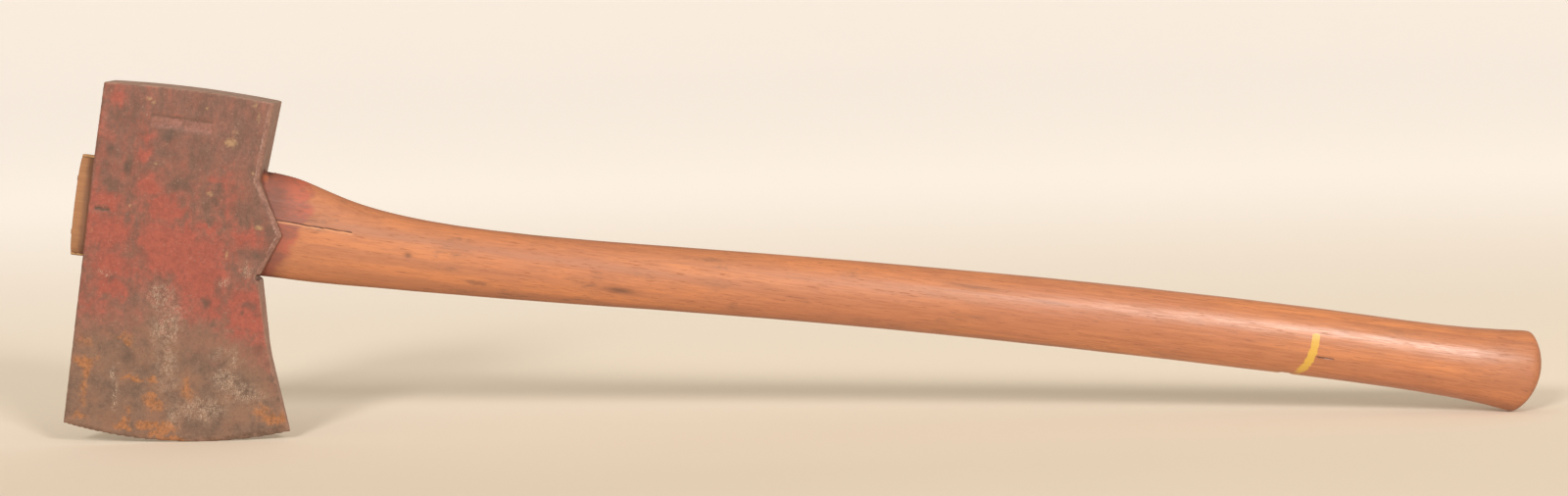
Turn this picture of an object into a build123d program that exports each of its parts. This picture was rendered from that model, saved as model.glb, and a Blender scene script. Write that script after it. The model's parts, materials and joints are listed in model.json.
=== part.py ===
from build123d import *
import math
import os

# A splitting maul, in millimetres. It is drawn in the tool's own axes and leaned at the end.
# Tool axes: +X runs along the handle from head to knob, +Z runs up the head from bit to poll,
# Y is the thickness, and the origin is beside the toe, the front corner of the bit.
# Every part is symmetric about the plane Y = 0, apart from the maker's cartouche on one cheek.

# Head, as the cheek shows it
TOE = (-2.6, -2.4)
POLL_FRONT = (0.2, 212.5)
POLL_REAR = (105.2, 213.6)
POLL_CROWN = 1.9
LUG_TOP = (101.6, 164.8)
LUG_POINT = (119.6, 133.0)
LUG_BOTTOM = (107.6, 104.8)
LUG_POINT_RADIUS = 3.5
WAIST = (119.0, 59.5)
WAIST_RADIUS = 120.0
HEEL = (138.1, 11.3)
BIT_SAGITTA = 9.0
RELIEF_RADIUS = 1.8

# Head, as its front shows it
HEAD_THICKNESS = 38.0
WEDGE_HALF_AT_TOE = 1.8
WEDGE_SLOPE = 0.1
SHOULDER_BLEND_RADIUS = 320.0
BIT_EDGE_HALF = 0.5
BIT_BEVEL_SLOPE = 0.6
LUG_BEVEL = 2.5
CORNER_BEVEL = 1.2

# Maker's cartouche, a plain sunk panel
CARTOUCHE_CENTRE = (50.8, 193.6)
CARTOUCHE_SIZE = (38.0, 7.4)
CARTOUCHE_DEPTH = 0.5

# Handle sections: place along the handle, underside, top side, thickness.
# The first four are the tongue, which tapers from the rear of the eye to its front.
TONGUE_PROUD = 10.5
HANDLE_SECTIONS = [
    (-TONGUE_PROUD, 102.4, 165.6, 18.6),
    (45.0, 103.3, 167.0, 18.8),
    (101.0, 104.4, 171.1, 21.6),
    (116.0, 104.9, 169.8, 21.5),
    (136.0, 105.3, 165.3, 25.0),
    (157.0, 106.1, 159.4, 27.0),
    (187.0, 107.6, 154.7, 27.0),
    (226.0, 109.5, 152.8, 26.5),
    (300.0, 113.8, 154.6, 27.0),
    (400.0, 119.9, 160.4, 27.5),
    (500.0, 124.7, 165.8, 28.0),
    (600.0, 127.9, 170.3, 28.0),
    (700.0, 130.0, 173.1, 28.0),
    (790.0, 131.0, 174.0, 28.5),
    (840.0, 130.3, 174.3, 30.0),
    (872.0, 128.3, 176.0, 32.5),
    (906.0, 123.5, 178.4, 35.0),
]
TONGUE_SECTIONS = 4
KNOB_DOME_RADIUS = 35.5
KNOB_DOME_CENTRE = (868.0, 154.0)

# Wedges that spread the tongue in the eye
KERF_DEPTH = 56.0
KERF_TIP_THICKNESS = 1.0
WOODEN_WEDGE_THICKNESS = 5.0
STEEL_WEDGE_THICKNESS = 3.2
STEEL_WEDGE_TIP = 0.8
STEEL_WEDGE_WIDTH = 13.0
STEEL_WEDGE_LENGTH = 25.0
STEEL_WEDGE_PROUD = 0.6
STEEL_WEDGE_HEIGHTS = {"upper": 151.0, "lower": 117.5}

# The hand's place on the handle, which is the origin of the finished part
GRIP_X = 800.0
GRIP_Z = 152.6
LEAN_STEPS = 8
MESH_TOLERANCE = 0.02

# How near an edge or a corner must be to a stated place to be picked
PICK_TOLERANCE = 1.0


def bit_circle():
    """Centre and radius of the bit's arc, from toe to heel."""
    run, climb = HEEL[0] - TOE[0], HEEL[1] - TOE[1]
    half_chord = math.hypot(run, climb) / 2
    radius = (half_chord**2 + BIT_SAGITTA**2) / (2 * BIT_SAGITTA)
    slope = math.atan2(climb, run)
    rise = radius - BIT_SAGITTA
    centre_x = (TOE[0] + HEEL[0]) / 2 - rise * math.sin(slope)
    centre_z = (TOE[1] + HEEL[1]) / 2 + rise * math.cos(slope)
    return centre_x, centre_z, radius


def carried_on(start, end, height):
    """The point at the given height on the straight line through two points."""
    share = (height - start[1]) / (end[1] - start[1])
    return start[0] + share * (end[0] - start[0]), height


def cheek_blank():
    """The head's outline from the side, as a plate. Its foot is left long for the bit's arc."""
    foot = TOE[1] - BIT_SAGITTA
    front_foot = carried_on(POLL_FRONT, TOE, foot)
    rear_foot = carried_on(WAIST, HEEL, foot)
    crown_x = (POLL_FRONT[0] + POLL_REAR[0]) / 2
    crown_point = (crown_x, (POLL_FRONT[1] + POLL_REAR[1]) / 2 + POLL_CROWN)
    with BuildPart() as blank:
        with BuildSketch(Plane.XZ) as outline:
            with BuildLine():
                Line(front_foot, POLL_FRONT)
                ThreePointArc(POLL_FRONT, crown_point, POLL_REAR)
                Polyline(
                    POLL_REAR,
                    LUG_TOP,
                    LUG_POINT,
                    LUG_BOTTOM,
                    WAIST,
                    rear_foot,
                    front_foot,
                )
            make_face()
            fillet(outline.vertices().sort_by_distance(LUG_POINT)[0], LUG_POINT_RADIUS)
            fillet(outline.vertices().sort_by_distance(WAIST)[0], WAIST_RADIUS)
        extrude(amount=HEAD_THICKNESS / 2, both=True)
    return blank.part


def wedge_blank():
    """The head's section from the front: a parallel poll block running down into a wedge."""
    foot = TOE[1] - BIT_SAGITTA
    top = POLL_REAR[1] + 2 * POLL_CROWN
    half = HEAD_THICKNESS / 2
    foot_half = WEDGE_HALF_AT_TOE + WEDGE_SLOPE * foot
    shoulder_height = (half - WEDGE_HALF_AT_TOE) / WEDGE_SLOPE
    with BuildPart() as blank:
        with BuildSketch(Plane.YZ) as section:
            Polygon(
                (-foot_half, foot),
                (foot_half, foot),
                (half, shoulder_height),
                (half, top),
                (-half, top),
                (-half, shoulder_height),
                align=None,
            )
            low = shoulder_height - PICK_TOLERANCE
            high = shoulder_height + PICK_TOLERANCE
            shoulders = section.vertices().filter_by_position(Axis.Y, low, high)
            fillet(shoulders, SHOULDER_BLEND_RADIUS)
        extrude(amount=2 * HEEL[0], both=True)
    return blank.part


def bit_disc():
    """A disc with a bevelled rim: it gives the bit its arc and an edge of constant width."""
    centre_x, centre_z, radius = bit_circle()
    half = HEAD_THICKNESS / 2
    bevel_run = (half - BIT_EDGE_HALF) / BIT_BEVEL_SLOPE
    rim = centre_x + radius
    with BuildPart() as disc:
        with BuildSketch(Plane.XY.offset(centre_z)):
            Polygon(
                (centre_x, -half),
                (rim - bevel_run, -half),
                (rim, -BIT_EDGE_HALF),
                (rim, BIT_EDGE_HALF),
                (rim - bevel_run, half),
                (centre_x, half),
                align=None,
            )
        revolve(axis=Axis((centre_x, 0, centre_z), (0, 1, 0)))
    return disc.part


def cheek_edges(head, low, high, front):
    """The edges between the cheeks and the head's front or rear side, between two heights."""
    found = []
    for edge in head.edges():
        middle = edge @ 0.5
        on_cheek = abs(middle.Y) > 2 * BIT_EDGE_HALF
        on_side = middle.X < PICK_TOLERANCE if front else middle.X > LUG_TOP[0] - PICK_TOLERANCE
        if on_cheek and on_side and low < middle.Z < high:
            found.append(edge)
    return found


def cartouche():
    """The sunk panel near the poll, on the cheek that faces -Y."""
    width, height = CARTOUCHE_SIZE
    panel = Box(width, 2 * CARTOUCHE_DEPTH, height)
    return Pos(CARTOUCHE_CENTRE[0], -HEAD_THICKNESS / 2, CARTOUCHE_CENTRE[1]) * panel


def relief():
    """The small relief bored where the lug meets the blade, right through the head."""
    bore = Cylinder(RELIEF_RADIUS, 2 * HEAD_THICKNESS, rotation=(90, 0, 0))
    return Pos(LUG_BOTTOM[0], 0, LUG_BOTTOM[1]) * bore


def head_solid(handle):
    """The forged head, with the eye that the handle's tongue fills."""
    head = cheek_blank() & wedge_blank()
    below_lug = LUG_BOTTOM[1] - PICK_TOLERANCE
    head = chamfer(cheek_edges(head, below_lug, POLL_FRONT[1], front=False), LUG_BEVEL)
    head = head & bit_disc()
    above_bit = 2 * HEEL[1]
    corners = cheek_edges(head, above_bit, below_lug, front=False)
    corners += cheek_edges(head, above_bit, POLL_FRONT[1], front=True)
    head = chamfer(corners, CORNER_BEVEL)
    return head - cartouche() - relief() - handle


def handle_section(x, low, high, thickness):
    """One oval section of the handle."""
    centre = Plane(origin=(x, 0, (low + high) / 2), x_dir=(0, 1, 0), z_dir=(1, 0, 0))
    return centre * Ellipse(thickness / 2, (high - low) / 2)


def handle_solid():
    """The whole stick of the handle, from the end of its tongue to the domed knob."""
    sections = [handle_section(*section) for section in HANDLE_SECTIONS]
    tongue = loft(sections[:TONGUE_SECTIONS], ruled=True)
    grip = loft(sections[TONGUE_SECTIONS - 1 :])
    stick = tongue + grip
    dome_x, dome_z = KNOB_DOME_CENTRE
    length = dome_x + 2 * TONGUE_PROUD
    tall = 2 * dome_z
    body = Pos(dome_x - length / 2, 0, dome_z) * Box(length, tall, tall)
    dome = Pos(dome_x, 0, dome_z) * Sphere(KNOB_DOME_RADIUS)
    return stick & (body + dome)


def taper_prism(start, length, thick, thin):
    """A wedge along +X from start, thick at its head and thin at its tip, tall in Z."""
    tall = 2 * POLL_REAR[1]
    with BuildPart() as prism:
        with BuildSketch(Plane.XY):
            Polygon(
                (start, -thick / 2),
                (start + length, -thin / 2),
                (start + length, thin / 2),
                (start, thick / 2),
                align=None,
            )
        extrude(amount=tall)
    return prism.part


def steel_wedge(height):
    """A steel wedge driven across the wooden one at the given height."""
    start = -TONGUE_PROUD - STEEL_WEDGE_PROUD
    length = STEEL_WEDGE_LENGTH + STEEL_WEDGE_PROUD
    half_head = STEEL_WEDGE_THICKNESS / 2
    half_tip = STEEL_WEDGE_TIP / 2
    with BuildPart() as wedge:
        with BuildSketch(Plane.XZ):
            Polygon(
                (start, height - half_head),
                (start + length, height - half_tip),
                (start + length, height + half_tip),
                (start, height + half_head),
                align=None,
            )
        extrude(amount=STEEL_WEDGE_WIDTH / 2, both=True)
    return wedge.part


def placed(shape, lean):
    """A shape moved from the tool's axes to the leaning pose, with the grip at the origin."""
    return Rot(0, lean, 0) * Pos(-GRIP_X, 0, -GRIP_Z) * shape


def lowest(shape):
    """Height of a shape's lowest point, from a close mesh of it."""
    points, _ = shape.tessellate(MESH_TOLERANCE)
    return min(point.Z for point in points)


def lean_angle(head, handle):
    """The lean, in degrees, at which the bit and the knob rest on one level floor."""
    lean = 0.0
    for _ in range(LEAN_STEPS):
        gap = lowest(placed(handle, lean)) - lowest(placed(head, lean))
        lean += math.degrees(gap / GRIP_X)
    return lean


stick = handle_solid()
kerf = taper_prism(-TONGUE_PROUD, KERF_DEPTH, WOODEN_WEDGE_THICKNESS, KERF_TIP_THICKNESS)
nodes = {"head": head_solid(stick), "handle": stick - kerf, "wooden_wedge": stick & kerf}
for place, height in STEEL_WEDGE_HEIGHTS.items():
    cross = steel_wedge(height)
    nodes["handle"] -= cross
    nodes["wooden_wedge"] -= cross
    nodes[f"steel_wedge_{place}"] = cross

lean = lean_angle(nodes["head"], stick)
os.makedirs("parts", exist_ok=True)
for name, shape in nodes.items():
    export_step(placed(shape, lean), f"parts/{name}.step")
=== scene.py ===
"""The looks of a splitting maul: a worn red head on a long hardwood handle.

Lengths are in metres. The tool's own axes are used for everything that is drawn on the maul:
u runs along the handle from the head's front, w runs up the head from the toe of the bit, and
y is the thickness, as in the frame. Places on the tool are written in millimetres in u and w.
"""
import json
import math

import bmesh
import bpy
import numpy as np
from mathutils import Euler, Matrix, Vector
from mathutils.bvhtree import BVHTree


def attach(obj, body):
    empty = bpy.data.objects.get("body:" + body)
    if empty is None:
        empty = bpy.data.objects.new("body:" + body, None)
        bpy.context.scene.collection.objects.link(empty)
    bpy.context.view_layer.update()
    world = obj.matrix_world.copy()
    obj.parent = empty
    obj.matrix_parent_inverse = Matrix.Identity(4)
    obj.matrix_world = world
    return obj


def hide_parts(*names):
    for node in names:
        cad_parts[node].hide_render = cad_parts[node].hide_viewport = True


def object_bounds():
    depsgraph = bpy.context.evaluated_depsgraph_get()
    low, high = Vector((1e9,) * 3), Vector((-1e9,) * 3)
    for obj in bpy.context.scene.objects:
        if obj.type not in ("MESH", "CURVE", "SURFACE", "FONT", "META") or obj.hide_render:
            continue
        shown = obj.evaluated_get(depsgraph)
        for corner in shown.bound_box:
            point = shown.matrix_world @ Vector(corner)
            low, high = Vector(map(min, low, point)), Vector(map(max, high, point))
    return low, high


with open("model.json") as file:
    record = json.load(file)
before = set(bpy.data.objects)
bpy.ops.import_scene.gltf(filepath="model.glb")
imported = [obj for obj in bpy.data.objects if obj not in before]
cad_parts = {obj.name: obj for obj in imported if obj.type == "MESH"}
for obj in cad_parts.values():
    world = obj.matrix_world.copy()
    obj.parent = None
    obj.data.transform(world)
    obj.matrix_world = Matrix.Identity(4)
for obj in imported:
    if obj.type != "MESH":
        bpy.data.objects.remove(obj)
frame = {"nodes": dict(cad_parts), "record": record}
cad_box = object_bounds()

MM = 0.001
GRIP_PLACE = (800.0, 152.6)
HEAD_VOXEL = 0.97 * MM
HANDLE_STEP = 1.2 * MM
HANDLE_ANGLES = 120

grip = next(m for m in frame["record"]["mounts"] if m["name"] == "grip")
ALONG = Vector(grip["axis"]).normalized()
ACROSS = Vector((0, 1, 0))
UP = ALONG.cross(ACROSS).normalized()
TOOL_ORIGIN = Vector(grip["pos_m"]) - GRIP_PLACE[0] * MM * ALONG - GRIP_PLACE[1] * MM * UP
TOOL_AXES = np.array([ALONG, ACROSS, UP])
FLOOR = cad_box[0].z


# Tool axes

def to_tool(points):
    """Row points as (u, y, w) in millimetres."""
    return (points - np.array(TOOL_ORIGIN)) @ TOOL_AXES.T / MM


def to_row(points):
    """Tool points in millimetres as row points in metres."""
    return points @ TOOL_AXES * MM + np.array(TOOL_ORIGIN)


def tool_point(u, y, w):
    return Vector(to_row(np.array([[u, y, w]]))[0])


# Noise, for shapes and masks

def lattice(cell, seed):
    """A fixed random number from 0 to 1 for each lattice cell."""
    mixed = cell[:, 0] * 73856093 ^ cell[:, 1] * 19349663 ^ cell[:, 2] * 83492791 ^ seed * 2654435761
    mixed = (mixed ^ (mixed >> 13)) * 1274126177 & 0xFFFFFFFF
    mixed = (mixed ^ (mixed >> 15)) * 2246822519 & 0xFFFFFFFF
    return (mixed ^ (mixed >> 16)) / 0xFFFFFFFF


def noise(points, size, seed):
    """Smooth noise from -1 to 1 with features of the given size, one size or one per axis."""
    scaled = points / np.asarray(size, float)
    base = np.floor(scaled).astype(np.int64)
    part = scaled - base
    ease = part * part * (3 - 2 * part)
    total = np.zeros(len(points))
    for corner in range(8):
        offset = np.array([corner & 1, corner >> 1 & 1, corner >> 2 & 1])
        weight = np.where(offset, ease, 1 - ease).prod(1)
        total += weight * lattice(base + offset, seed)
    return total * 2 - 1


def layered(points, size, seed, layers=4):
    """Noise summed over halving sizes."""
    size = np.asarray(size, float)
    total = np.zeros(len(points))
    for layer in range(layers):
        total += noise(points, size / 2**layer, seed + layer) / 2**layer
    return total / (2 - 2 ** (1 - layers))


def smoothstep(low, high, value):
    t = np.clip((value - low) / (high - low), 0, 1)
    return t * t * (3 - 2 * t)


def patches(u, w, places):
    """A soft mask from oval patches, each (u, w, half width, half height, strength)."""
    total = np.zeros(len(u))
    for place_u, place_w, half_u, half_w, strength in places:
        distance = ((u - place_u) / half_u) ** 2 + ((w - place_w) / half_w) ** 2
        total = np.maximum(total, strength * np.exp(-0.7 * distance))
    return total


# Meshes

def mesh_points(mesh):
    flat = np.empty(len(mesh.vertices) * 3)
    mesh.vertices.foreach_get("co", flat)
    return flat.reshape(-1, 3)


def mesh_normals(mesh):
    flat = np.empty(len(mesh.vertices) * 3)
    mesh.vertices.foreach_get("normal", flat)
    return flat.reshape(-1, 3)


def set_points(mesh, points):
    mesh.vertices.foreach_set("co", points.astype(np.float32).ravel())
    mesh.update()


def set_value(mesh, name, values):
    """Stores one number per vertex under a name that the materials read."""
    attribute = mesh.attributes.new(name, "FLOAT", "POINT")
    attribute.data.foreach_set("value", values.astype(np.float32))


def set_vector(mesh, name, vectors):
    attribute = mesh.attributes.new(name, "FLOAT_VECTOR", "POINT")
    attribute.data.foreach_set("vector", vectors.astype(np.float32).ravel())


def new_object(name, mesh):
    obj = bpy.data.objects.new(name, mesh)
    bpy.context.scene.collection.objects.link(obj)
    for polygon in mesh.polygons:
        polygon.use_smooth = True
    return obj


def applied(obj):
    """Replaces an object's mesh with the result of its modifiers."""
    depsgraph = bpy.context.evaluated_depsgraph_get()
    result = bpy.data.meshes.new_from_object(obj.evaluated_get(depsgraph))
    obj.modifiers.clear()
    obj.data = result


def cad_copy(name, node):
    """A welded copy of a CAD node's mesh in an object of its own."""
    shape = bmesh.new()
    shape.from_mesh(frame["nodes"][node].data)
    bmesh.ops.remove_doubles(shape, verts=shape.verts, dist=1e-6)
    mesh = bpy.data.meshes.new(name)
    shape.to_mesh(mesh)
    shape.free()
    return new_object(name, mesh)


def remeshed(obj, voxel):
    """Rebuilds a piece as an even skin of small faces, snapped back to its CAD surface."""
    tree = BVHTree.FromObject(obj, bpy.context.evaluated_depsgraph_get())
    remesh = obj.modifiers.new("even", "REMESH")
    remesh.mode = "VOXEL"
    remesh.voxel_size = voxel
    remesh.use_smooth_shade = True
    applied(obj)
    points = mesh_points(obj.data)
    snapped = np.array([tree.find_nearest(Vector(p))[0] for p in points])
    set_points(obj.data, snapped)


def cut(obj, cutters):
    """Cuts other pieces out of a piece, and removes them."""
    for cutter in cutters:
        modifier = obj.modifiers.new("cut", "BOOLEAN")
        modifier.operation = "DIFFERENCE"
        modifier.solver = "MANIFOLD"
        modifier.object = cutter
    applied(obj)
    for cutter in cutters:
        bpy.data.objects.remove(cutter)


def joined_tree(names):
    """One search tree over several CAD nodes, in row coordinates."""
    points, faces = [], []
    for name in names:
        mesh = frame["nodes"][name].data
        start = len(points)
        points += [v.co.copy() for v in mesh.vertices]
        faces += [[start + i for i in p.vertices] for p in mesh.polygons]
    return BVHTree.FromPolygons(points, faces)


# Materials

def srgb(red, green, blue):
    """A colour given from 0 to 255 as it looks on a screen."""
    linear = []
    for channel in (red, green, blue):
        share = channel / 255
        linear.append(share / 12.92 if share <= 0.04045 else ((share + 0.055) / 1.055) ** 2.4)
    return (*linear, 1.0)


class Graph:
    """A material's node tree, built one call per node."""

    def __init__(self, name):
        self.material = bpy.data.materials.new(name)
        self.material.use_nodes = True
        self.tree = self.material.node_tree
        self.tree.nodes.clear()

    def node(self, kind, inputs=None, **settings):
        made = self.tree.nodes.new("ShaderNode" + kind)
        for key, value in settings.items():
            setattr(made, key, value)
        for key, value in (inputs or {}).items():
            if isinstance(value, bpy.types.NodeSocket):
                self.tree.links.new(value, made.inputs[key])
            else:
                made.inputs[key].default_value = value
        return made

    def value(self, name):
        return self.node("Attribute", attribute_name=name).outputs["Fac"]

    def vector(self, name):
        return self.node("Attribute", attribute_name=name).outputs["Vector"]

    def stretched(self, vector, scale):
        return self.node("Mapping", {"Vector": vector, "Scale": scale}).outputs["Vector"]

    def noise(self, vector, scale, detail=4.0, roughness=0.5, distortion=0.0):
        inputs = {"Vector": vector, "Scale": scale, "Detail": detail, "Roughness": roughness}
        inputs["Distortion"] = distortion
        return self.node("TexNoise", inputs).outputs["Fac"]

    def math(self, operation, first, second=0.0, third=0.0, clamp=False):
        made = self.node("Math", operation=operation, use_clamp=clamp)
        for socket, value in zip(made.inputs, (first, second, third)):
            if isinstance(value, bpy.types.NodeSocket):
                self.tree.links.new(value, socket)
            else:
                socket.default_value = value
        return made.outputs[0]

    def span(self, value, low, high, start=0.0, end=1.0):
        inputs = {"Value": value, "From Min": low, "From Max": high, "To Min": start, "To Max": end}
        return self.node("MapRange", inputs, interpolation_type="SMOOTHSTEP").outputs["Result"]

    def mix(self, share, first, second, blend="MIX"):
        made = self.node("Mix", data_type="RGBA", blend_type=blend)
        for index, value in ((0, share), (6, first), (7, second)):
            if isinstance(value, bpy.types.NodeSocket):
                self.tree.links.new(value, made.inputs[index])
            else:
                made.inputs[index].default_value = value
        return made.outputs[2]

    def bump(self, height, strength, distance, normal=None):
        inputs = {"Height": height, "Strength": strength, "Distance": distance}
        if normal is not None:
            inputs["Normal"] = normal
        return self.node("Bump", inputs).outputs["Normal"]

    def surface(self, **inputs):
        named = {key.replace("_", " "): value for key, value in inputs.items()}
        shader = self.node("BsdfPrincipled", named)
        output = self.node("OutputMaterial")
        self.tree.links.new(shader.outputs["BSDF"], output.inputs["Surface"])
        return self.material


# The head

WEAR_LINE = [(0, 64), (20, 68), (45, 74), (70, 68), (95, 64), (112, 56), (140, 46)]
NEAR_DARK = [
    (21, 196, 3.5, 16, 0.7), (22, 163, 3.5, 6, 1.0), (10, 172, 5, 5, 0.8), (8, 164, 4, 3, 0.6),
    (26, 186, 7, 2.5, 0.6), (44, 186, 6, 4.5, 0.9), (43, 176, 8, 7, 0.6), (48, 172, 4, 6, 0.6),
    (38, 166, 5, 4, 0.6), (52, 156, 9, 6, 0.85), (45, 159, 5, 4, 0.6), (61, 163, 8, 2.5, 0.5),
    (50, 146, 2, 7, 0.5), (19, 152, 2.5, 2.5, 0.8), (73, 159, 4, 2, 0.7), (76, 149, 3.5, 2.5, 0.8),
    (104, 140, 4, 3, 0.9), (111, 134, 6, 6, 0.9), (114, 128, 4, 5, 0.7), (106, 117, 5, 4, 0.9),
    (29, 129, 5, 5, 0.4), (19, 92, 3, 5, 0.8), (13, 77, 2, 2, 0.7), (23, 78, 3, 3, 0.7),
    (85, 95, 3, 9, 0.7), (77, 86, 4, 3.5, 0.8), (104, 87, 5, 4, 0.8), (101, 80, 1.5, 2, 0.8),
    (81, 76, 1.5, 2, 0.8), (84, 70, 1.5, 2, 0.8), (31, 46, 9, 6, 0.8), (44, 40, 9, 5, 0.6),
    (84, 47, 12, 7, 0.6), (112, 60, 4, 4, 0.7), (105, 105, 4, 6, 0.6), (68, 60, 8, 5, 0.5),
    (17, 21, 9, 13, 0.45), (88, 8, 16, 6, 0.3),
]
NEAR_RUST = [
    (5, 51, 5, 4, 0.6), (7, 38, 7, 3, 0.8), (9, 32, 3, 6, 0.6), (8, 22, 3, 10, 0.5),
    (7, 4, 5, 3, 0.6), (28, 58, 8, 1.6, 0.7), (32, 55, 2.5, 2, 0.9), (38, 31, 7, 2, 0.7),
    (50, 32, 3.5, 1.5, 0.8), (50, 23, 2.5, 2, 1.0), (52, 17, 6, 4, 0.8), (71, 28, 4, 6, 0.6),
    (37, 8, 2, 4, 0.8), (34, 2, 6, 2, 0.9), (51, 3, 10, 3, 1.0), (62, 5, 5, 2.5, 0.9),
    (61, -3, 12, 1.5, 0.9), (117, 22, 8, 3, 0.6), (130, 18, 9, 4, 0.8), (113, 63, 3, 2.5, 0.8),
    (18, 62, 6, 6, 0.4),
]
NEAR_SCUFF = [
    (96, 37, 9, 6, 1.0), (106, 31, 14, 8, 0.7), (82, 18, 14, 7, 0.8), (66, 10, 4, 6, 0.7),
    (48, 85, 10, 8, 0.7), (55, 66, 8, 10, 0.8), (57, 46, 7, 10, 0.7), (28, 19, 1.5, 8, 1.0),
    (25, 33, 1.5, 4, 0.8), (13, 96, 4, 1.5, 1.0), (100, 109, 4, 4, 0.6), (88, 100, 3, 3, 0.8),
    (89, 55, 5, 4, 0.6), (59, 79, 7, 8, 0.5), (98, 52, 4, 6, 0.7), (60, 30, 8, 8, 0.5),
]
NEAR_FLECK = [
    (29, 206, 2.5, 1.5, 0.8), (32, 204, 1.5, 2, 0.8), (65, 205, 1.2, 1.2, 0.9), (94, 211, 2, 3, 0.7),
    (97, 203, 1.4, 5, 0.7), (82, 186, 4, 3, 1.0), (84, 192, 3, 3, 0.6), (105, 136, 3.2, 1.6, 1.0),
    (73, 153, 3, 1.8, 0.8), (38, 167, 2, 1.5, 0.7), (25, 139, 2, 1.2, 0.8), (43, 180, 1.6, 1, 0.7),
    (98, 169, 1.3, 1.3, 0.8), (87, 117, 1.2, 4, 0.8), (3, 121, 1.4, 4, 0.6),
]
NEAR_BRIGHT = [
    (32, 173, 4, 4, 0.7), (32, 182, 4, 3, 0.6), (10, 205, 4, 3, 0.6), (10, 141, 6, 5, 0.9),
    (44, 141, 8, 6, 0.9), (36, 151, 8, 6, 0.6), (54, 139, 5, 3, 0.8), (73, 132, 6, 3, 0.8),
    (76, 163, 4, 3, 0.4), (14, 120, 12, 10, 0.7), (64, 125, 4, 5, 0.8), (70, 113, 14, 12, 0.9),
    (44, 118, 14, 10, 0.7), (99, 129, 8, 6, 0.7), (75, 102, 10, 10, 1.0), (73, 91, 6, 5, 1.0),
    (50, 106, 12, 6, 0.7), (19, 101, 10, 8, 0.6), (19, 86, 6, 4, 0.9), (26, 81, 2.5, 4, 0.9),
    (12, 70, 6, 4, 0.8), (74, 78, 10, 6, 1.0), (82, 84, 4, 4, 0.9), (102, 89, 7, 5, 0.8),
    (105, 77, 8, 7, 0.8), (95, 68, 7, 4, 0.8), (116, 58, 6, 8, 0.8), (120, 44, 4, 8, 0.5),
]
FAR_DARK = [
    (30, 180, 10, 16, 0.7), (82, 160, 14, 9, 0.7), (60, 130, 8, 12, 0.5), (102, 110, 5, 10, 0.8),
    (40, 60, 12, 7, 0.6), (110, 50, 8, 8, 0.5), (16, 120, 4, 12, 0.6), (70, 24, 16, 6, 0.5),
]
FAR_RUST = [
    (20, 30, 7, 8, 0.8), (60, 6, 14, 3, 1.0), (100, 22, 8, 4, 0.8), (126, 24, 5, 6, 0.9),
    (76, 50, 5, 3, 0.7), (6, 66, 3, 8, 0.7),
]
FAR_SCUFF = [
    (60, 40, 16, 10, 0.9), (100, 34, 14, 8, 0.8), (34, 78, 10, 7, 0.6), (84, 70, 8, 12, 0.6),
    (52, 196, 12, 4, 0.5),
]
FAR_FLECK = [(40, 200, 3, 2, 0.8), (88, 178, 3, 2, 0.8), (24, 150, 2, 2, 0.7), (100, 130, 3, 2, 0.7)]
FAR_BRIGHT = [
    (40, 110, 20, 14, 1.0), (86, 118, 14, 14, 0.8), (20, 150, 9, 10, 0.5), (104, 84, 10, 10, 0.7),
    (70, 176, 12, 6, 0.4), (60, 82, 12, 6, 0.8),
]
DASH = (8.0, 134.5, 4.8, 1.1)
PANEL = (50.8, 193.6, 19.0, 3.7)
HEAD_SHADE = 0.88


def wear_height(u):
    line = np.array(WEAR_LINE, float)
    return np.interp(u, line[:, 0], line[:, 1])


def edge_wear(normals):
    """How sharply the surface turns at each point, from 0 on a flat to 1 on a sharp edge."""
    return 1 - smoothstep(0.86, 0.995, np.abs(normals).max(1))


def wear_masks(tool, near):
    """Where paint, grime, rust, scratches and flecks lie, from 0 to 1 at each point."""
    u, w = tool[:, 0], tool[:, 2]
    streaks = layered(tool, (14, 14, 30), 3, 5)
    ragged_u = u + 3.4 * layered(tool, (6, 6, 12), 61, 4)
    ragged_w = w + 6.0 * layered(tool, (5, 5, 9), 63, 4)

    def both(near_places, far_places):
        near_side = patches(ragged_u, ragged_w, near_places) * near
        return near_side + patches(ragged_u, ragged_w, far_places) * (1 - near)

    blotch = layered(tool, (22, 22, 22), 11, 5)
    fine = layered(tool, 3.0, 21, 4)
    above = w - wear_height(u)
    paint = smoothstep(-34, 26, above + 16 * blotch + 12 * fine)
    dark = both(NEAR_DARK, FAR_DARK) + 0.3 * streaks + 0.15 * fine
    ground = 0.32 - 0.22 * smoothstep(150, 175, w + 10 * blotch) * smoothstep(20, 70, u)
    bright = ground + both(NEAR_BRIGHT, FAR_BRIGHT) + 0.3 * streaks + 0.25 * fine
    rust = both(NEAR_RUST, FAR_RUST) + 0.3 * fine + 0.2 * blotch
    return {
        "paint": paint,
        "dark": np.clip(dark, 0, 1),
        "bright": np.clip(bright, 0, 1),
        "rust": np.clip(rust, 0, 1) * (1 - 0.6 * paint),
        "scuff": both(NEAR_SCUFF, FAR_SCUFF),
        "fleck": patches(u, w, NEAR_FLECK) * near + patches(u, w, FAR_FLECK) * (1 - near),
    }


def sunk_marks(tool, near):
    """Masks for the near cheek's short dash, its plain sunk panel and a painted shadow along that
    panel's top edge.
    """
    u, w = tool[:, 0], tool[:, 2]
    dash_u, dash_w, dash_half, dash_tall = DASH
    in_dash = smoothstep(1.15, 0.85, np.abs(u - dash_u) / dash_half)
    in_dash *= smoothstep(1.3, 0.7, np.abs(w - dash_w) / dash_tall) * near
    panel_u, panel_w, panel_half, panel_tall = PANEL
    in_panel = smoothstep(1.03, 0.98, np.abs(u - panel_u) / panel_half)
    in_panel *= smoothstep(1.15, 0.9, np.abs(w - panel_w) / panel_tall) * near
    panel_top_shadow = in_panel * smoothstep(0.3, 0.95, (w - panel_w) / panel_tall)
    return in_dash, in_panel, panel_top_shadow


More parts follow.
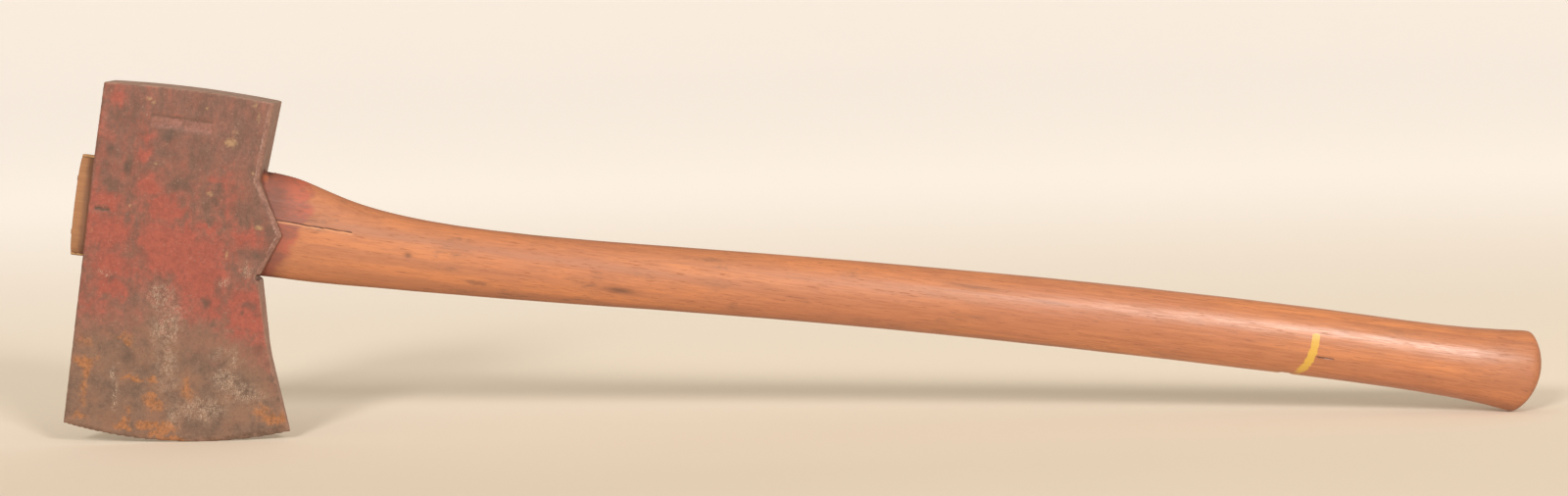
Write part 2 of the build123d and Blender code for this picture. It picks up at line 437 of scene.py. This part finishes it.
def head_relief(tool, turn, paint, in_dash, in_panel):
    """How far the skin stands off the CAD surface, in millimetres."""
    y, w = tool[:, 1], tool[:, 2]
    pits = smoothstep(0.35, 0.75, layered(tool, 2.2, 31, 3)) * (0.25 + 0.75 * (1 - paint))
    swell = 0.10 * layered(tool, 26, 41, 3) + 0.035 * layered(tool, 5, 47, 3)
    nick = smoothstep(0.35, 0.8, layered(tool, 6, 53, 2)) * turn
    height = swell - 0.16 * pits - 0.22 * nick - 0.12 * turn - 0.5 * in_dash
    height -= 0.25 * in_panel * smoothstep(-0.2, 0.5, noise(tool, (2.6, 4, 3.2), 67))
    in_eye = smoothstep(1.2, 0.6, np.abs(y) / 10) * smoothstep(0, 3, w - 101) * smoothstep(172, 168, w)
    return height * (1 - in_eye)


def make_head():
    """The forged head: an even skin with relief, and the masks that its material reads."""
    head = cad_copy("maul_head", "head")
    remeshed(head, HEAD_VOXEL)
    mesh = head.data
    tool = to_tool(mesh_points(mesh))
    normals = mesh_normals(mesh) @ TOOL_AXES.T
    u, y, w = tool.T
    near = smoothstep(1.0, -1.0, y)
    turn = edge_wear(normals)
    masks = wear_masks(tool, near)
    in_dash, in_panel, panel_top_shadow = sunk_marks(tool, near)
    height = head_relief(tool, turn, masks["paint"], in_dash, in_panel)
    set_points(mesh, mesh_points(mesh) + mesh_normals(mesh) * (height * MM)[:, None])

    # The dark mask also carries a painted shadow along the sunk panel's top edge.
    masks["dark"] = np.maximum(np.maximum(masks["dark"], in_dash), 0.9 * panel_top_shadow)
    masks["panel"] = in_panel * (1 - panel_top_shadow)
    masks["edge"] = turn
    # poll: painted highlight, the upward faces of the poll top painted lighter as if lit from above
    masks["poll"] = smoothstep(0.3, 0.8, normals[:, 2]) * smoothstep(203, 207, w)
    # side: painted light, the faces turned toward the handle painted lighter and paler as if lit from
    # that side
    masks["side"] = smoothstep(0.5, 0.9, normals[:, 0]) * smoothstep(98, 104, u)
    behind = smoothstep(94, 99, u) * smoothstep(98, 104, w)
    facing = np.abs(normals[:, 1])
    # Painted light and shade: the slanted bevel faces get their own tone, as their slant takes the
    # light.
    masks["bevel_shading"] = smoothstep(0.35, 0.55, facing) * smoothstep(0.9, 0.82, facing) * behind
    # rim: a painted highlight along the worn inner edge of the bevels
    masks["rim"] = smoothstep(0.80, 0.88, facing) * smoothstep(0.985, 0.94, facing) * behind
    set_vector(mesh, "tool", tool * MM)
    for name, values in masks.items():
        set_value(mesh, name, values)
    mesh.materials.clear()
    mesh.materials.append(head_material())
    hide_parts("head")
    return head


def head_material():
    """Red paint, hazed and streaked with grime, worn through to brown rusted steel, with painted light
    on the poll top, the rear faces and the bevels, and a painted shadow along the sunk panel's top
    edge.
    """
    g = Graph("worn_red_head")
    tool = g.vector("tool")
    tall = g.stretched(tool, (1.0, 1.0, 0.4))
    coarse = g.noise(tool, 60, 8, 0.66)
    mottle = g.noise(tool, 190, 7, 0.7)
    fine = g.noise(tool, 520, 6, 0.7)
    grit = g.noise(tool, 1500, 3, 0.65)
    streak = g.noise(tall, 130, 8, 0.7)

    steel = g.mix(g.span(coarse, 0.38, 0.62), srgb(122, 96, 80), srgb(154, 114, 92))
    steel = g.mix(g.span(mottle, 0.35, 0.65, 0.0, 0.5), steel, srgb(134, 104, 86))
    rust_mask = g.math("ADD", g.value("rust"), g.math("MULTIPLY", mottle, 0.8))
    rust_mask = g.span(rust_mask, 0.58, 1.08)
    rust = g.mix(g.span(fine, 0.35, 0.7), srgb(158, 106, 72), srgb(196, 132, 82))
    steel = g.mix(g.math("MULTIPLY", rust_mask, 0.9), steel, rust)

    haze = g.mix(g.span(streak, 0.38, 0.62), srgb(128, 92, 78), srgb(150, 100, 84))
    vivid = g.math("ADD", g.value("bright"), g.math("MULTIPLY", streak, 0.9))
    vivid = g.span(g.math("ADD", vivid, g.math("MULTIPLY", mottle, 0.5)), 0.85, 1.55)
    red = g.mix(g.math("MULTIPLY", vivid, 0.9), haze, srgb(174, 90, 74))
    red = g.mix(g.span(g.value("paint"), 0.55, 1.0, 0.6, 0.0), red, srgb(150, 104, 88))
    worn = g.math("ADD", g.value("paint"), g.math("MULTIPLY", mottle, 1.1))
    worn = g.span(g.math("ADD", worn, g.math("MULTIPLY", fine, 0.7)), 0.95, 1.85)
    colour = g.mix(worn, steel, red)

    # Grime, and a painted shadow along the sunk panel's top edge.
    dark_mask = g.math("ADD", g.value("dark"), g.math("MULTIPLY", streak, 1.4))
    dark_mask = g.span(g.math("ADD", dark_mask, g.math("MULTIPLY", fine, 0.7)), 1.3, 2.15)
    colour = g.mix(g.math("MULTIPLY", dark_mask, 0.85), colour, srgb(100, 80, 68))
    pepper = g.math("MULTIPLY", g.span(fine, 0.56, 0.66), g.span(coarse, 0.42, 0.58))
    colour = g.mix(g.math("MULTIPLY", pepper, 0.5), colour, srgb(92, 72, 62))
    salt = g.math("MULTIPLY", g.span(g.noise(tool, 640, 5, 0.7), 0.58, 0.68), 0.4)
    colour = g.mix(salt, colour, srgb(180, 150, 128))
    scratch = g.span(g.noise(g.stretched(tool, (1.0, 1.0, 0.3)), 1500, 3, 0.6), 0.54, 0.62)
    scratch = g.math("MAXIMUM", scratch, g.span(grit, 0.50, 0.60))
    scratch = g.math("MULTIPLY", scratch, g.span(g.value("scuff"), 0.05, 0.8))
    scratch = g.math("MULTIPLY", scratch, g.span(mottle, 0.36, 0.52))
    colour = g.mix(g.math("MULTIPLY", scratch, 0.85), colour, srgb(194, 168, 146))
    fleck_mask = g.math("ADD", g.value("fleck"), g.math("MULTIPLY", fine, 1.0))
    fleck_mask = g.span(fleck_mask, 0.85, 1.4)
    colour = g.mix(g.math("MULTIPLY", fleck_mask, 0.75), colour, srgb(190, 152, 112))
    panel = g.math("MULTIPLY", g.value("panel"), g.span(fine, 0.4, 0.6, 0.2, 0.7))
    colour = g.mix(panel, colour, srgb(164, 112, 100))
    # Painted light and shade on the bevel band, standing in for how its slant takes the light.
    bevel_tone = g.mix(g.span(fine, 0.35, 0.65), srgb(152, 108, 98), srgb(176, 130, 118))
    colour = g.mix(g.math("MULTIPLY", g.value("bevel_shading"), 0.8), colour, bevel_tone)
    # Painted light: the faces turned toward the handle are painted lighter, as if lit from that side.
    colour = g.mix(g.math("MULTIPLY", g.value("side"), 0.8), colour, srgb(184, 142, 122))
    # Painted highlight: the poll top is painted lighter, as if lit from above.
    colour = g.mix(g.math("MULTIPLY", g.value("poll"), 0.6), colour, srgb(200, 164, 142))
    # Painted highlight along the worn inner edge of the bevels.
    rim = g.math("MULTIPLY", g.value("rim"), g.span(coarse, 0.40, 0.60))
    colour = g.mix(g.math("MULTIPLY", rim, 0.8), colour, srgb(214, 176, 160))
    edge_mask = g.math("MULTIPLY", g.value("edge"), g.span(mottle, 0.44, 0.62))
    colour = g.mix(g.math("MULTIPLY", edge_mask, 0.35), colour, srgb(176, 142, 124))
    tone = g.span(g.math("ADD", fine, mottle), 0.75, 1.25, 0.60, 0.84)
    tone = g.math("MULTIPLY", tone, HEAD_SHADE)
    colour = g.mix(1.0, colour, tone, "MULTIPLY")

    rough = g.span(coarse, 0.3, 0.7, 0.56, 0.74)
    rough = g.math("ADD", rough, g.math("MULTIPLY", rust_mask, 0.15))
    rough = g.math("SUBTRACT", rough, g.math("MULTIPLY", scratch, 0.15), clamp=True)
    pitted = g.bump(fine, 0.3, 0.0006)
    normal = g.bump(grit, 0.2, 0.0003, pitted)
    return g.surface(Base_Color=colour, Roughness=rough, Normal=normal, Specular_IOR_Level=0.35)


# The handle

OVERSPRAY_EDGE = [
    (100, 111), (112, 116), (122, 123), (132, 128), (139, 129), (143, 134), (154, 135), (172, 128),
]
CRACK = [(114, 141.7), (128, 141.5), (139, 141.0), (150, 141.1), (161.5, 140.6)]
SHORT_CRACK = [(763, 144.9), (773, 144.6)]
YELLOW_STROKE = [(760.5, 157), (760, 149), (758.8, 142.5), (756.5, 137), (753, 132.5), (749, 129.5)]
KNOTS = [
    (330, 127.4, 8, 1.5, 1.0), (198, 131.5, 1.8, 1.5, 0.9), (548, 159, 15, 1.1, 0.6),
    (596, 156, 9, 0.9, 0.4),
]
NOTCH = (746.5, 133.0)
CHIP = (106.0, 169.8, 1.9, 1.6)
SPLINTER = (104.0, 166.4, 2.0, 1.3)
WEDGES = ("wooden_wedge", "steel_wedge_upper", "steel_wedge_lower")
DOME_START = 868.0
DOME_RINGS = 33
CAP_RINGS = 12
FRONT_ROUNDING = 0.9


def handle_profile(tree):
    """Centre height of the handle's section at steps along it, from rays down the middle."""
    front_hit = tree.ray_cast(tool_point(-300, 0, 134), ALONG)[0]
    front = to_tool(np.array([front_hit]))[0][0]
    steps = int((DOME_START - front) * MM / HANDLE_STEP)
    places = np.linspace(front, DOME_START, steps)
    middles = []
    for u in places:
        high = tree.ray_cast(tool_point(u, 0.0, 400), -UP)[0]
        low = tree.ray_cast(tool_point(u, 0.0, -200), UP)[0]
        heights = to_tool(np.array([high, low]))[:, 2]
        middles.append((heights[0] + heights[1]) / 2)
    return places, blurred(np.array(middles), 6.0)


def blurred(values, width):
    """A Gaussian blur along the first axis, with the ends held."""
    reach = int(3 * width)
    kernel = np.exp(-0.5 * (np.arange(-reach, reach + 1) / width) ** 2)
    kernel /= kernel.sum()
    held = np.concatenate(
        [np.repeat(values[:1], reach, 0), values, np.repeat(values[-1:], reach, 0)]
    )
    return sum(weight * held[i : i + len(values)] for i, weight in enumerate(kernel))


def handle_radii(tree, centres, directions):
    """Distance from each centre to the handle's skin, along each direction."""
    reach = 100 * MM
    radii = np.empty(directions.shape[:2])
    for row, centre in enumerate(centres):
        for column, direction in enumerate(directions[row]):
            aim = Vector(direction)
            hit = tree.ray_cast(Vector(centre) + aim * reach, -aim, reach)
            radii[row, column] = reach - hit[3] if hit[0] else np.nan
    for ring in radii:
        missed = np.isnan(ring)
        ring[missed] = np.interp(np.flatnonzero(missed), np.flatnonzero(~missed), ring[~missed])
    return radii


def handle_rings():
    """The handle as rings of points, from a flat front end to the domed knob, and its two ends."""
    tree = joined_tree(["handle", *WEDGES])
    places, middles = handle_profile(tree)
    angles = np.linspace(0, 2 * math.pi, HANDLE_ANGLES, endpoint=False)
    circle = np.stack([np.zeros_like(angles), np.cos(angles), np.sin(angles)], 1)
    centres = [(u, 0.0, w) for u, w in zip(places, middles)]
    directions = [circle] * len(centres)
    for bend in np.linspace(0, math.pi / 2, DOME_RINGS + 2)[1:-1]:
        turned = circle * math.cos(bend)
        turned[:, 0] = math.sin(bend)
        centres.append((places[-1], 0.0, middles[-1]))
        directions.append(turned)
    centres, directions = np.array(centres), np.array(directions)
    row_centres = to_row(centres)
    radii = handle_radii(tree, row_centres, directions @ TOOL_AXES) / MM
    radii[0] = radii[1]
    radii = smooth_radii(radii, len(places))

    rings = centres[:, None, :] + directions * radii[:, :, None]
    front = rings[0].copy()
    cap = []
    for scale in np.linspace(0.06, 0.97, CAP_RINGS):
        ring = front.copy()
        ring[:, 1] *= scale
        ring[:, 2] = middles[0] + (ring[:, 2] - middles[0]) * scale
        cap.append(ring)
    rings[0][:, 1:] = cap[-1][:, 1:] * 0.35 + rings[0][:, 1:] * 0.65
    rings[0][:, 0] += FRONT_ROUNDING * 0.25
    rings[1][:, 0] = rings[0][:, 0] + FRONT_ROUNDING * 0.6
    tip_hit = tree.ray_cast(Vector(row_centres[-1]) + ALONG * 0.1, -ALONG)[0]
    tip = to_tool(np.array([tip_hit]))[0]
    front_middle = np.array([front[:, 0].mean(), 0.0, middles[0]])
    return np.concatenate([np.array(cap), rings]), front_middle, tip


def smooth_radii(radii, stick):
    """Takes the facets out of the ray-cast skin, and keeps the head's shoulder and the rim."""
    wrapped = np.concatenate([radii[:, -6:], radii, radii[:, :6]], 1)
    wrapped = blurred(wrapped.T, 1.2).T
    radii = wrapped[:, 6:-6]
    soft = blurred(radii, 3.0)
    fine = blurred(radii, 1.0)
    soft[stick - 8 :] = fine[stick - 8 :]
    return soft


def ring_mesh(name, rows, first, last):
    """A closed mesh from rings of points and the two end points."""
    count, around = rows.shape[:2]
    points = np.concatenate([rows.reshape(-1, 3), [first, last]])
    faces = []
    for row in range(count - 1):
        for column in range(around):
            after = (column + 1) % around
            low, high = row * around, (row + 1) * around
            faces.append((low + column, low + after, high + after, high + column))
    start, end = count * around, count * around + 1
    top = (count - 1) * around
    for column in range(around):
        after = (column + 1) % around
        faces.append((start, after, column))
        faces.append((end, top + column, top + after))
    mesh = bpy.data.meshes.new(name)
    mesh.from_pydata(to_row(points), [], faces)
    mesh.update()
    return mesh


def blade(name, path, thickness, depth, y):
    """A thin cutter along a path on the near side, for a crack in the wood."""
    points, faces = [], []
    wobble = np.random.default_rng(5)
    for index, (u, w) in enumerate(path):
        share = index / (len(path) - 1)
        half = thickness * (1 - 0.75 * share) / 2
        jitter = wobble.uniform(-0.15, 0.15)
        for dy, dw in ((0, half), (0, -half), (depth, 0)):
            points.append((u, y + dy - (4 if dy == 0 else 0), w + dw + jitter))
    for index in range(len(path) - 1):
        a, b = index * 3, index * 3 + 3
        faces += [(a, a + 1, b + 1, b), (a + 1, a + 2, b + 2, b + 1), (a + 2, a, b, b + 2)]
    faces += [(0, 2, 1), (len(points) - 3, len(points) - 2, len(points) - 1)]
    mesh = bpy.data.meshes.new(name)
    mesh.from_pydata([tuple(p) for p in to_row(np.array(points, float))], [], faces)
    mesh.update()
    shape = bmesh.new()
    shape.from_mesh(mesh)
    bmesh.ops.recalc_face_normals(shape, faces=shape.faces)
    shape.to_mesh(mesh)
    shape.free()
    return new_object(name, mesh)


def oval_distance(u, w, oval):
    """Distance from an oval's centre, 1 at its edge; the oval is (u, w, half width, half height)."""
    return np.hypot((u - oval[0]) / oval[2], (w - oval[1]) / oval[3])


def line_distance(u, w, path):
    """Distance from each point to a path drawn in u and w, and how far along the path it is."""
    nearest = np.full(len(u), np.inf)
    along = np.zeros(len(u))
    path = np.array(path, float)
    for index in range(len(path) - 1):
        start, run = path[index], path[index + 1] - path[index]
        share = ((u - start[0]) * run[0] + (w - start[1]) * run[1]) / (run @ run)
        share = np.clip(share, 0, 1)
        distance = np.hypot(u - start[0] - share * run[0], w - start[1] - share * run[1])
        closer = distance < nearest
        nearest = np.where(closer, distance, nearest)
        along = np.where(closer, (index + share) / (len(path) - 1), along)
    return nearest, along


def carve_handle(handle):
    """Gives the handle its grain, lumps, chip, notch and knots, then its cracks and wedge slots."""
    mesh = handle.data
    tool = to_tool(mesh_points(mesh))
    u, y, w = tool.T
    near = smoothstep(2.0, -2.0, y)
    grain = layered(tool, (60, 2.4, 2.4), 71, 3)
    lumps = layered(tool, (45, 18, 18), 77, 3)
    outside = smoothstep(118, 130, u)
    chip = smoothstep(1.3, 0.5, oval_distance(u, w, CHIP)) * near
    notch = smoothstep(4.5, 2.5, np.abs(u - NOTCH[0]))
    notch *= smoothstep(NOTCH[1], NOTCH[1] - 2.5, w)
    height = outside * (0.05 * grain + 0.12 * lumps) - 1.0 * chip - 0.6 * notch
    height -= 0.15 * patches(u, w, KNOTS) * near
    set_points(mesh, mesh_points(mesh) + mesh_normals(mesh) * (height * MM)[:, None])
    crack = blade("crack_cutter", CRACK, 0.4, 4.0, -14.5)
    short_crack = blade("short_crack_cutter", SHORT_CRACK, 0.35, 3.0, -15.0)
    cut(handle, [crack, short_crack, *[cad_copy(f"{node}_cutter", node) for node in WEDGES]])


def handle_masks(tool):
    """Where paint, ink, cracks, polish and grime lie on the handle, from 0 to 1 at each point, with
    painted shade in the cracks, in the chip hole and where the handle meets the head, and a painted
    highlight on a crack's lower lip.
    """
    u, y, w = tool.T
    near = smoothstep(2.0, -2.0, y)
    ragged = layered(tool, (9, 5, 5), 83, 4)
    reach = np.interp(w, *np.array(OVERSPRAY_EDGE, float).T)
    stroke, along = line_distance(u, w, YELLOW_STROKE)
    ink = smoothstep(3.0, 1.9, stroke + 0.7 * layered(tool, 3, 89, 3))
    crack_gap = line_distance(u, w, CRACK)[0]
    short_gap = line_distance(u, w, SHORT_CRACK)[0]
    # Painted shade inside the cracks.
    gap_shade = np.maximum(smoothstep(0.5, 0.2, crack_gap), smoothstep(0.4, 0.15, short_gap))
    hole = smoothstep(1.1, 0.7, oval_distance(u, w, CHIP))
    below = w < np.interp(u, *np.array(CRACK).T)
    return {
        "spray": smoothstep(9, -6, u - reach - 7 * ragged),
        "yellow": ink * near * (1 - 0.7 * smoothstep(0.45, 1.0, along)),
        "knot": patches(u, w, KNOTS) * near,
        # Painted shade in the cracks and the chip hole.
        "gap_shade": np.maximum(gap_shade, hole) * near,
        # Painted highlight along the crack's lower lip.
        "lip_highlight": smoothstep(1.8, 0.6, crack_gap) * below * near,
        "bare": smoothstep(1.3, 0.8, oval_distance(u, w, SPLINTER) + 0.3 * ragged) * near,
        "tongue": smoothstep(8, 2, u),
        # Grime with painted shade on the tongue next to the head.
        "tongue_grime_and_shade": smoothstep(-7.0, -4.0, u + 0.8 * noise(tool, 4, 101)),
        # Grime with painted shade where the handle meets the head.
        "joint_grime_and_shade": smoothstep(128, 112, u) * smoothstep(60, 100, u),
        "polish": smoothstep(260, 720, u) * smoothstep(905, 850, u),
    }


def make_handle():
    rows, first, last = handle_rings()
    handle = new_object("maul_handle", ring_mesh("maul_handle", rows, first, last))
    carve_handle(handle)
    mesh = handle.data
    tool = to_tool(mesh_points(mesh))
    set_vector(mesh, "tool", tool * MM)
    for name, values in handle_masks(tool).items():
        set_value(mesh, name, values)
    mesh.materials.clear()
    mesh.materials.append(handle_material())
    for polygon in mesh.polygons:
        polygon.use_smooth = True
    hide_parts("handle")
    return handle


def handle_material():
    """Hand-polished hardwood: long fine grain, dark pores, and old red overspray at the head."""
    g = Graph("polished_hardwood")
    tool = g.vector("tool")
    fibre = g.stretched(tool, (0.05, 1.0, 1.0))
    longer = g.stretched(tool, (0.018, 1.0, 1.0))
    figure = g.noise(longer, 95, 5, 0.55, 0.4)
    line = g.noise(fibre, 900, 5, 0.6)
    pore = g.noise(g.stretched(tool, (0.07, 1.0, 1.0)), 1500, 3, 0.55)
    tone = g.noise(g.stretched(tool, (0.5, 1.0, 1.0)), 14, 4, 0.6)

    wood = g.mix(g.span(figure, 0.34, 0.66), srgb(162, 104, 71), srgb(192, 122, 76))
    wood = g.mix(g.span(tone, 0.42, 0.62, 0.0, 0.55), wood, srgb(164, 103, 74))
    wood = g.mix(g.span(line, 0.38, 0.58, 0.4, 0.0), wood, srgb(140, 88, 62))
    smudge = g.noise(g.stretched(tool, (0.35, 1.0, 1.0)), 70, 7, 0.66)
    smudge = g.math("MULTIPLY", g.span(smudge, 0.54, 0.68), g.span(line, 0.42, 0.58))
    worn = g.math("SUBTRACT", 1.0, g.value("polish"))
    smudge = g.math("MULTIPLY", smudge, g.math("MULTIPLY_ADD", worn, 0.5, 0.45))
    wood = g.mix(smudge, wood, srgb(118, 80, 60))
    wood = g.mix(g.math("MULTIPLY", worn, 0.28), wood, srgb(150, 96, 66))
    pore_mask = g.span(pore, 0.58, 0.70)
    wood = g.mix(g.math("MULTIPLY", pore_mask, 0.5), wood, srgb(112, 64, 44))
    wood = g.mix(g.math("MULTIPLY", g.value("knot"), 0.8), wood, srgb(84, 56, 44))
    spray = g.math("ADD", g.value("spray"), g.math("MULTIPLY", line, 0.5))
    spray = g.span(spray, 0.5, 1.1)
    scuffed = g.noise(g.stretched(tool, (0.4, 1.0, 1.0)), 150, 7, 0.68)
    red = g.mix(g.span(scuffed, 0.4, 0.6), srgb(126, 72, 60), srgb(160, 80, 62))
    wood = g.mix(g.math("MULTIPLY", spray, 0.85), wood, red)
    # Darker where the handle meets the head: grime with painted shade at the joint.
    grime = g.math("MULTIPLY", g.value("joint_grime_and_shade"), 0.6)
    wood = g.mix(grime, wood, srgb(98, 58, 46))
    yellow = g.span(g.math("ADD", g.value("yellow"), g.math("MULTIPLY", line, 0.4)), 0.5, 0.95)
    wood = g.mix(g.math("MULTIPLY", yellow, 0.85), wood, srgb(196, 158, 62))
    # Painted highlight: a lighter line along the crack's lower lip.
    wood = g.mix(g.math("MULTIPLY", g.value("lip_highlight"), 0.7), wood, srgb(212, 150, 106))
    wood = g.mix(g.math("MULTIPLY", g.value("bare"), 0.7), wood, srgb(196, 112, 74))
    # Painted shade: the cracks and the chip hole are painted dark.
    wood = g.mix(g.value("gap_shade"), wood, srgb(84, 46, 32))
    raw = g.mix(g.span(line, 0.38, 0.62), srgb(140, 100, 68), srgb(150, 108, 73))
    # Darker on the tongue next to the head: grime with painted shade.
    raw = g.mix(g.math("MULTIPLY", g.value("tongue_grime_and_shade"), 0.8), raw, srgb(98, 70, 54))
    wood = g.mix(g.math("MULTIPLY", g.value("tongue"), 0.92), wood, raw)

    polish = g.value("polish")
    rough = g.span(figure, 0.3, 0.7, 0.56, 0.66)
    rough = g.math("SUBTRACT", rough, g.math("MULTIPLY", polish, 0.20))
    rough = g.math("ADD", rough, g.math("MULTIPLY", pore_mask, 0.2))
    rough = g.math("ADD", rough, g.math("MULTIPLY", g.value("tongue"), 0.3), clamp=True)
    groove = g.bump(line, 0.32, 0.0004)
    normal = g.bump(pore_mask, 0.25, -0.0002, groove)
    coat = g.math("MULTIPLY", polish, g.span(line, 0.36, 0.6, 0.10, 0.40))
    return g.surface(
        Base_Color=wood, Roughness=rough, Normal=normal, Coat_Weight=coat, Coat_Roughness=0.28
    )


# The wedges in the tongue

def make_wedge(name, node, material, voxel):
    wedge = cad_copy(name, node)
    remeshed(wedge, voxel)
    mesh = wedge.data
    tool = to_tool(mesh_points(mesh))
    front = smoothstep(-6, -9, tool[:, 0])
    height = 0.18 * layered(tool, 2.5, 97, 3) * front
    set_points(mesh, mesh_points(mesh) + mesh_normals(mesh) * (height * MM)[:, None])
    set_vector(mesh, "tool", tool * MM)
    mesh.materials.clear()
    mesh.materials.append(material)
    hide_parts(node)
    return wedge


def wedge_wood_material():
    g = Graph("wedge_hardwood")
    tool = g.vector("tool")
    line = g.noise(g.stretched(tool, (0.2, 1.0, 0.25)), 900, 5, 0.6)
    patch = g.noise(tool, 120, 4, 0.6)
    wood = g.mix(g.span(line, 0.35, 0.65), srgb(132, 96, 64), srgb(192, 148, 100))
    wood = g.mix(g.span(patch, 0.5, 0.7, 0.0, 0.6), wood, srgb(96, 70, 50))
    normal = g.bump(line, 0.3, 0.0004)
    return g.surface(Base_Color=wood, Roughness=g.span(patch, 0.3, 0.7, 0.7, 0.85), Normal=normal)


def wedge_steel_material():
    g = Graph("rusted_wedge_steel")
    tool = g.vector("tool")
    patch = g.noise(tool, 300, 6, 0.6)
    fine = g.noise(tool, 1500, 4, 0.6)
    steel = g.mix(g.span(patch, 0.4, 0.6), srgb(96, 78, 68), srgb(150, 98, 66))
    steel = g.mix(g.span(fine, 0.55, 0.7, 0.0, 0.5), steel, srgb(170, 158, 148))
    normal = g.bump(fine, 0.3, 0.0003)
    return g.surface(
        Base_Color=steel, Metallic=0.35, Roughness=g.span(patch, 0.3, 0.7, 0.5, 0.8), Normal=normal
    )


# The room: a pale sweep, soft lights and the camera

LIGHTS_FRONT = -4.4
LIGHTS_HEIGHT = 1.94


def make_floor():
    """A round pale floor that curves up far behind the lights, the same from every side."""
    flat_radius, rise_radius, height = 8.5, 5.0, 6.0
    rings = [(0.0, 0.0)] + [(r, 0.0) for r in np.linspace(0.6, flat_radius, 12)]
    for bend in np.linspace(0, math.pi / 2, 14)[1:]:
        out = flat_radius + rise_radius * math.sin(bend)
        rings.append((out, rise_radius * (1 - math.cos(bend))))
    rings.append((flat_radius + rise_radius, height))
    around = 96
    centre = (cad_box[0] + cad_box[1]) / 2
    points, faces = [], []
    for radius, rise in rings:
        for index in range(around):
            turn = 2 * math.pi * index / around
            x, y = centre.x + radius * math.cos(turn), centre.y + radius * math.sin(turn)
            points.append((x, y, FLOOR + rise))
    for row in range(len(rings) - 1):
        for column in range(around):
            after = (column + 1) % around
            low, high = row * around, (row + 1) * around
            faces.append((low + column, low + after, high + after, high + column))
    mesh = bpy.data.meshes.new("floor")
    mesh.from_pydata(points, [], faces)
    floor = new_object("floor", mesh)
    mesh.materials.append(paper_material(centre))


def paper_material(centre):
    """Paper that is greyer near the lights and glows faintly far off, against uneven light."""
    g = Graph("pale_paper")
    place = g.node("TexCoord").outputs["Object"]
    cloud = g.noise(place, 1.2, 3, 0.5)
    under_lights = (centre.x, LIGHTS_FRONT, FLOOR)
    away = g.node("VectorMath", {0: place, 1: under_lights}, operation="DISTANCE").outputs["Value"]
    near_tone = g.mix(g.span(cloud, 0.3, 0.7), srgb(215, 203, 187), srgb(220, 208, 192))
    near_tone = g.mix(g.span(away, 2.6, 4.15), srgb(150, 142, 130), near_tone)
    ground = g.mix(g.span(away, 4.1, 4.65), near_tone, srgb(238, 227, 212))
    glow = g.span(away, 4.35, 7.1, 0.0, 0.76)
    return g.surface(
        Base_Color=ground,
        Roughness=0.9,
        Specular_IOR_Level=0.2,
        Emission_Color=srgb(176, 179, 184),
        Emission_Strength=glow,
    )


def make_light(name, place, target, size, power, colour):
    data = bpy.data.lights.new(name, "AREA")
    data.shape = "DISK"
    data.size = size
    data.energy = power
    data.color = colour
    light = bpy.data.objects.new(name, data)
    light.location = place
    light.rotation_euler = (Vector(target) - Vector(place)).to_track_quat("-Z", "Y").to_euler()
    bpy.context.scene.collection.objects.link(light)


def make_lights():
    centre = (cad_box[0] + cad_box[1]) / 2
    target = Vector((centre.x, centre.y, FLOOR + 0.1))
    warm = (1.0, 0.96, 0.90)
    for name, aside in (("key_right", 1.7), ("key_left", -1.4)):
        place = Vector((centre.x + aside, LIGHTS_FRONT, FLOOR + LIGHTS_HEIGHT))
        make_light(name, place, target, 0.92, 145, warm)
    world = bpy.data.worlds.new("studio")
    world.use_nodes = True
    background = world.node_tree.nodes["Background"]
    background.inputs["Color"].default_value = (1.0, 0.885, 0.72, 1.0)
    background.inputs["Strength"].default_value = 0.54
    bpy.context.scene.world = world


CAMERA_BACK = 2.2
CAMERA_HEIGHT = 0.288
CAMERA_FROM_BIT = 0.370
CAMERA_LENS = 81.66
CAMERA_PAN, CAMERA_TILT, CAMERA_ROLL = -0.03, -4.56, -1.31
BIT_CONTACT = (80.7, -2.6)


def make_camera():
    """The viewing angle: square to the cheek, a little above the poll, rolled by a degree."""
    data = bpy.data.cameras.new("camera")
    data.sensor_width = 36.0
    data.lens = CAMERA_LENS
    data.clip_end = 60.0
    camera = bpy.data.objects.new("camera", data)
    bit = tool_point(BIT_CONTACT[0], 0, BIT_CONTACT[1])
    camera.location = (bit.x + CAMERA_FROM_BIT, -CAMERA_BACK, FLOOR + CAMERA_HEIGHT)
    look = Euler((math.radians(90 + CAMERA_TILT), 0, math.radians(-CAMERA_PAN)), "XYZ")
    roll = Euler((0, 0, math.radians(CAMERA_ROLL)), "XYZ")
    camera.rotation_mode = "QUATERNION"
    camera.rotation_quaternion = look.to_quaternion() @ roll.to_quaternion()
    bpy.context.scene.collection.objects.link(camera)
    bpy.context.scene.camera = camera


wedge_wood = wedge_wood_material()
wedge_steel = wedge_steel_material()
pieces = [
    make_head(),
    make_handle(),
    make_wedge("eye_wooden_wedge", "wooden_wedge", wedge_wood, 0.5 * MM),
    make_wedge("eye_steel_wedge_upper", "steel_wedge_upper", wedge_steel, 0.3 * MM),
    make_wedge("eye_steel_wedge_lower", "steel_wedge_lower", wedge_steel, 0.3 * MM),
]
for piece in pieces:
    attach(piece, "root")
make_floor()
make_lights()
make_camera()
bpy.context.scene.view_settings.view_transform = "Standard"
